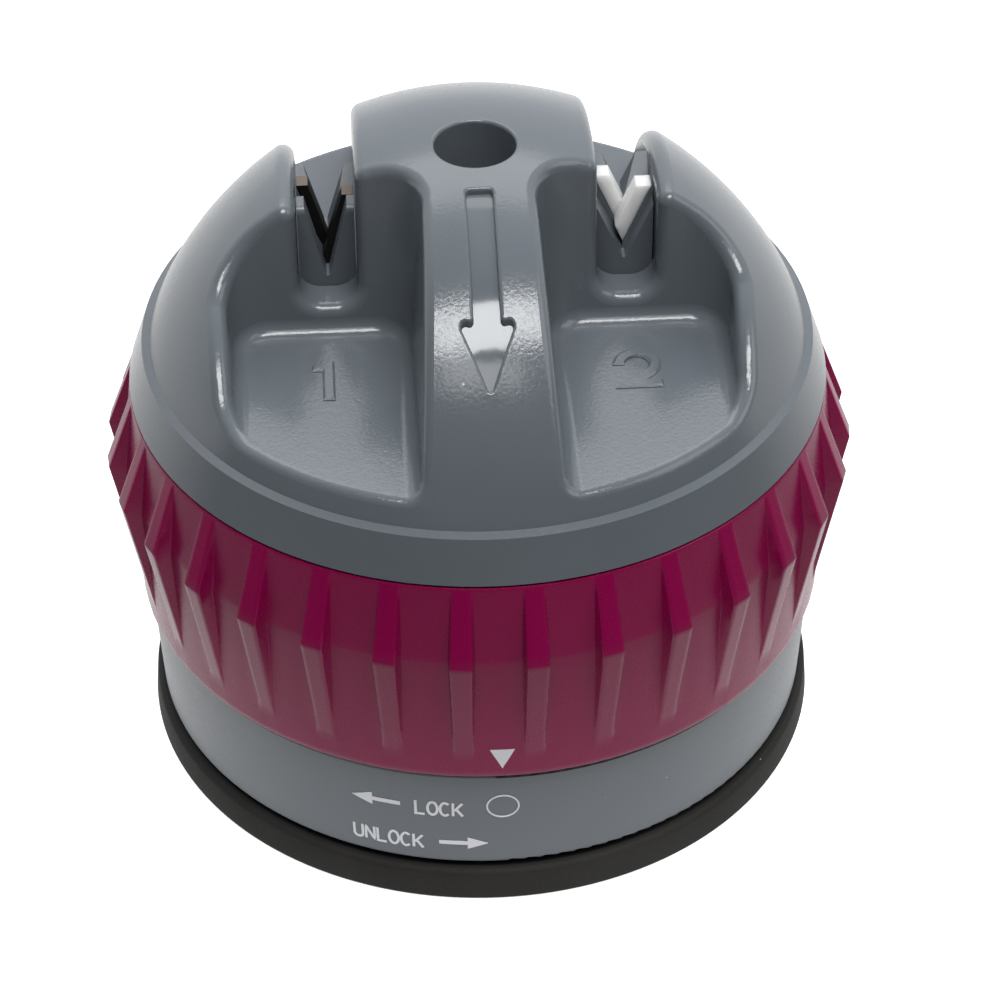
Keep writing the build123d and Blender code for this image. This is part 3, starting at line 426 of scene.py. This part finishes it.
# Places round the base in degrees, heights and widths in millimetres
PRINT_RADIUS = 35.35
DEGREE = math.radians(1) * PRINT_RADIUS
LOCK_LEFT, LOCK_BASELINE = -13.9, 11.3
UNLOCK_LEFT, UNLOCK_BASELINE = -24.9, 6.2
LOCK_ARROW = dict(tail=-16.5, head=-21.3, tip=-24.9, middle=12.4, barb=1.75)
UNLOCK_ARROW = dict(tail=-10.1, head=-5.3, tip=-1.9, middle=7.3, barb=1.67)
CIRCLE_MIDDLE, CIRCLE_HEIGHT, CIRCLE_HALF = 0.64, 12.77, (1.62, 1.55)
CIRCLE_STROKE, CIRCLE_STEPS = 0.17, 48
POINTER_ROWS, POINTER_TIP_SHARE = 8, 0.01
POINTER_MIDDLE, POINTER_HALF, POINTER_TOP, POINTER_DROP = 0.32, 1.26, 21.72, 2.66


def arc(cx, cz, rx, rz, first, last, count=ARC_STEPS):
    angles = [math.radians(first + (last - first) * k / count) for k in range(count + 1)]
    return [(cx + rx * math.cos(a), cz + rz * math.sin(a)) for a in angles]


def divided(points):
    """The same line with no step longer than the print step."""
    line = [points[0]]
    for (x0, z0), (x1, z1) in zip(points, points[1:]):
        count = max(1, math.ceil(math.hypot(x1 - x0, z1 - z0) / PRINT_STEP))
        line += [(x0 + (x1 - x0) * k / count, z0 + (z1 - z0) * k / count) for k in range(1, count + 1)]
    return line


def band(points, width, closed=False):
    """Pairs of points each side of a line, mitred at its corners."""
    line = points if closed else divided(points)
    pairs = []
    count = len(line)
    for k, (x, z) in enumerate(line):
        before = line[k - 1] if k or closed else None
        after = line[(k + 1) % count] if k < count - 1 or closed else None
        normals = []
        for p, q in ((before, (x, z)), ((x, z), after)):
            if p and q:
                length = math.hypot(q[0] - p[0], q[1] - p[1])
                normals.append(((p[1] - q[1]) / length, (q[0] - p[0]) / length))
        nx, nz = (sum(n[i] for n in normals) / len(normals) for i in (0, 1))
        scale = width / 2 / max(nx * nx + nz * nz, MITRE_LIMIT)
        pairs.append(((x + nx * scale, z + nz * scale), (x - nx * scale, z - nz * scale)))
    return pairs


def print_piece(name, bands, cone, slot, body):
    """Thin raised ink: each band is a closed strip that hugs the cone; x is along it in millimetres."""
    verts, faces = [], []
    middle_radius = on_line(cone, (cone[0][1] + cone[-1][1]) / 2)
    for pairs, closed in bands:
        first = len(verts)
        for one, other in pairs:
            for (x, z), lift in ((one, PRINT_RISE), (other, PRINT_RISE),
                                 (other, -PRINT_SINK), (one, -PRINT_SINK)):
                r = on_line(cone, z) + lift
                a = x / middle_radius
                verts.append((r * math.sin(a), -r * math.cos(a), z))
        rows = len(pairs)
        faces += [tuple(first + i for i in f) for f in loop_faces(rows, BAND_CORNERS, close_rows=closed)]
        if not closed:
            faces.append(tuple(first + i for i in reversed(range(BAND_CORNERS))))
            faces.append(tuple(first + BAND_CORNERS * (rows - 1) + i for i in range(BAND_CORNERS)))
    add_piece(name, verts, faces, slot, body, look="print", sharp=PRINT_SHARP)


def letters(text, left, baseline):
    """Plain stroke capitals as bands."""
    w, h, z = LETTER_PITCH * LETTER_SHARE, LETTER_HEIGHT, baseline
    bands = []
    for k, letter in enumerate(text):
        x = left * DEGREE + k * LETTER_PITCH
        if letter == "L":
            lines = [[(x, z + h), (x, z), (x + w, z)]]
        elif letter == "U":
            lines = [[(x, z + h)] + arc(x + w / 2, z + w / 2, w / 2, w / 2, 180, 360) + [(x + w, z + h)]]
        elif letter == "N":
            lines = [[(x, z), (x, z + h), (x + w, z), (x + w, z + h)]]
        elif letter == "C":
            lines = [arc(x + w / 2, z + h / 2, w / 2 + ROUND_OVER, h / 2,
                         C_OPENING, 360 - C_OPENING, C_STEPS)]
        elif letter == "K":
            lines = [[(x, z + h), (x, z)], [(x + w, z + h), (x + LETTER_STROKE / 2, z + K_ARM * h)],
                     [(x + K_LEG_START * w, z + K_LEG * h), (x + w + K_LEG_OVER, z)]]
        else:
            ring = arc(x + w / 2, z + h / 2, w / 2 + ROUND_OVER, h / 2, 0, 360, O_STEPS)[:-1]
            bands.append((band(ring, LETTER_STROKE, closed=True), True))
            continue
        bands += [(band(line, LETTER_STROKE), False) for line in lines]
    return bands


def arrow(tail, head, tip, middle, barb):
    """A straight arrow: a shaft band and a head that narrows to its tip."""
    shaft_band = band([(tail * DEGREE, middle), (head * DEGREE, middle)], SHAFT_STROKE)
    side = 1 if tip > head else -1
    head_band = []
    for k in range(HEAD_STEPS + 1):
        x = (head + (tip - head) * k / HEAD_STEPS) * DEGREE
        half = max(barb / 2 * (1 - k / HEAD_STEPS), HEAD_TIP_HALF) * side
        head_band.append(((x, middle + half), (x, middle - half)))
    return [(shaft_band, False), (head_band, False)]


circle = arc(CIRCLE_MIDDLE * DEGREE, CIRCLE_HEIGHT, *CIRCLE_HALF, 0, 360, CIRCLE_STEPS)[:-1]
pointer = []
for k in range(POINTER_ROWS + 1):
    half = POINTER_HALF * max(1 - k / POINTER_ROWS, POINTER_TIP_SHARE)
    z = POINTER_TOP - POINTER_DROP * k / POINTER_ROWS
    pointer.append(((POINTER_MIDDLE + half, z), (POINTER_MIDDLE - half, z)))
BASE_LEGENDS = {
    "legend_lock": letters("LOCK", LOCK_LEFT, LOCK_BASELINE),
    "legend_unlock": letters("UNLOCK", UNLOCK_LEFT, UNLOCK_BASELINE),
    "legend_lock_arrow": arrow(**LOCK_ARROW),
    "legend_unlock_arrow": arrow(**UNLOCK_ARROW),
    "legend_circle": [(band(circle, CIRCLE_STROKE, closed=True), True)],
}
for name, bands in BASE_LEGENDS.items():
    print_piece(name, bands, BASE_CONE, "base_plastic", "body")
print_piece("legend_pointer", [(pointer, False)], BARREL[:2], "ring_plastic", "ring")

# Materials of the carried-over solids

NODE_FINISH = {
    "top_housing": "dome_plastic",
    "base_housing": "base_plastic",
    "twist_ring": "ring_plastic",
    "suction_cup": "foot_rubber",
    "return_spring": "bright_steel",
    "coarse_cartridge": "cartridge_plastic",
    "fine_cartridge": "cartridge_plastic",
    "carbide_bar_left": "carbide",
    "carbide_bar_right": "carbide",
    "ceramic_bar_left": "ceramic",
    "ceramic_bar_right": "ceramic",
    "chassis": "inner_plastic",
    "cam_carrier": "inner_plastic",
    "lower_glide_washer": "glide_plastic",
    "upper_glide_washer": "glide_plastic",
}
for name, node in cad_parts.items():
    node.data.materials.clear()
    node.data.materials.append(finishes[NODE_FINISH.get(name, "zinc_steel")])

# Camera at the photograph's angle, sizes in metres

VIEW_AZIMUTH, VIEW_ELEVATION, VIEW_ROLL = math.radians(-2.7), math.radians(39.3), -0.0119175
VIEW_DISTANCE, VIEW_HEIGHT = 0.39745, 0.024125
SENSOR, FOCAL, NEAR_CLIP = 36, 133.2, 0.01
SHIFT_X, SHIFT_Y = 0.02088, 0.00021

back = Vector((math.sin(VIEW_AZIMUTH) * math.cos(VIEW_ELEVATION),
               -math.cos(VIEW_AZIMUTH) * math.cos(VIEW_ELEVATION), math.sin(VIEW_ELEVATION)))
lens = bpy.data.cameras.new("camera")
lens.sensor_width = SENSOR
lens.lens = FOCAL
lens.shift_x, lens.shift_y = SHIFT_X, SHIFT_Y
lens.clip_start = NEAR_CLIP
camera = bpy.data.objects.new("camera", lens)
scene.collection.objects.link(camera)
camera.location = Vector((0, 0, VIEW_HEIGHT)) + back * VIEW_DISTANCE
camera.rotation_mode = "QUATERNION"
roll = Matrix.Rotation(VIEW_ROLL, 3, "Z").to_quaternion()
camera.rotation_quaternion = (-back).to_track_quat("-Z", "Y") @ roll
scene.camera = camera

# Floor, seen by the camera alone

REACH = 2.5
FLOOR_LEVEL, CARD_LEVEL = -0.0001, -0.001
PAPER, PAPER_SHADE, PAPER_GRAIN = (0.88, 0.88, 0.88), (0.9, 0.9, 0.9), 40.0
PAPER_ROUGH, PAPER_GLOW = 0.9, 0.75
WHITE, BLACK = (1, 1, 1, 1), (0, 0, 0, 1)


def stage_sheet(name, material, level):
    mesh = bpy.data.meshes.new(name)
    corners = [(-REACH, -REACH, 0), (REACH, -REACH, 0), (REACH, REACH, 0), (-REACH, REACH, 0)]
    mesh.from_pydata(corners, [], [(0, 1, 2, 3)])
    mesh.materials.append(material)
    sheet = bpy.data.objects.new(name, mesh)
    sheet.location = (0, 0, level)
    scene.collection.objects.link(sheet)
    return sheet


scene.view_settings.view_transform = "Standard"
floor_finish = bpy.data.materials.new("floor")
tree, nodes, shader = shader_of(floor_finish)
coords = nodes.new("ShaderNodeTexCoord").outputs["Object"]
paper = blend_colour(tree, noise(tree, coords, PAPER_GRAIN), PAPER, PAPER_SHADE)
tree.links.new(paper, shader.inputs["Base Color"])
shader.inputs["Roughness"].default_value = PAPER_ROUGH
shader.inputs["Emission Color"].default_value = WHITE
shader.inputs["Emission Strength"].default_value = PAPER_GLOW
floor = stage_sheet("floor", floor_finish, FLOOR_LEVEL)
floor.visible_glossy = False
floor.visible_diffuse = False

# Card under the floor that lights the object in its place: white behind it, fading with distance in front

CARD_NEAR, CARD_FALL, CARD_FRONT = 0.065, -1.3, 1.3
CARD_BACK, CARD_BACK_AT = 1.1, (-0.04, 0.05)

card_finish = bpy.data.materials.new("card")
tree, nodes, shader = shader_of(card_finish)
coords = nodes.new("ShaderNodeTexCoord").outputs["Object"]
split = nodes.new("ShaderNodeSeparateXYZ")
tree.links.new(coords, split.inputs[0])
behind = spread(tree, split.outputs["Y"], 0.0, CARD_BACK, *CARD_BACK_AT)
distance = nodes.new("ShaderNodeVectorMath")
distance.operation = "LENGTH"
tree.links.new(coords, distance.inputs[0])
near = number(tree, "DIVIDE", distance.outputs["Value"], CARD_NEAR)
fall = number(tree, "POWER", near, CARD_FALL)
level = number(tree, "MAXIMUM", number(tree, "MINIMUM", fall, CARD_FRONT), behind)
shader.inputs["Base Color"].default_value = BLACK
shader.inputs["Specular IOR Level"].default_value = 0.0
shader.inputs["Emission Color"].default_value = WHITE
tree.links.new(level, shader.inputs["Emission Strength"])
card = stage_sheet("card", card_finish, CARD_LEVEL)

# White background behind, dark room in front

ROOM_COLOUR = (0.95, 0.98, 1.0, 1)
ROOM_FRONT, ROOM_BACK, ROOM_AT = 0.01, 0.95, (-0.1, 0.4)

world = bpy.data.worlds.new("studio")
world.use_nodes = True
scene.world = world
tree = world.node_tree
split = tree.nodes.new("ShaderNodeSeparateXYZ")
tree.links.new(tree.nodes.new("ShaderNodeTexCoord").outputs["Generated"], split.inputs[0])
sky = tree.nodes["Background"]
sky.inputs["Color"].default_value = ROOM_COLOUR
tree.links.new(spread(tree, split.outputs["Y"], ROOM_FRONT, ROOM_BACK, *ROOM_AT), sky.inputs["Strength"])

# Soft lamps, sizes in metres

LAMP_DISTANCE, LAMP_TARGET = 0.9, Vector((0, 0, 0.05))
LAMPS = {
    "key": dict(elevation=71.5, azimuth=8, width=0.6, depth=0.25, power=6.8),
    "front": dict(elevation=55, azimuth=0, width=0.4, depth=0.14, power=0.8),
    "back": dict(elevation=128, azimuth=0, width=0.7, depth=0.4, power=2.0),
    "right": dict(elevation=40, azimuth=75, width=0.5, depth=0.5, power=1.6),
}


def softbox(name, elevation, azimuth, width, depth, power):
    """A rectangular lamp; elevation 0 is the front horizon, 90 is overhead; azimuth turns it to the right."""
    e, a = math.radians(elevation), math.radians(azimuth)
    way = Vector((math.cos(e) * math.sin(a), -math.cos(e) * math.cos(a), math.sin(e)))
    lamp = bpy.data.lights.new(name, "AREA")
    lamp.shape = "RECTANGLE"
    lamp.size, lamp.size_y = width, depth
    lamp.energy = power
    stand = bpy.data.objects.new(name, lamp)
    scene.collection.objects.link(stand)
    stand.location = LAMP_TARGET + way * LAMP_DISTANCE
    stand.rotation_mode = "QUATERNION"
    stand.rotation_quaternion = (-way).to_track_quat("-Z", "Y")


for name, lamp in LAMPS.items():
    softbox(name, **lamp)
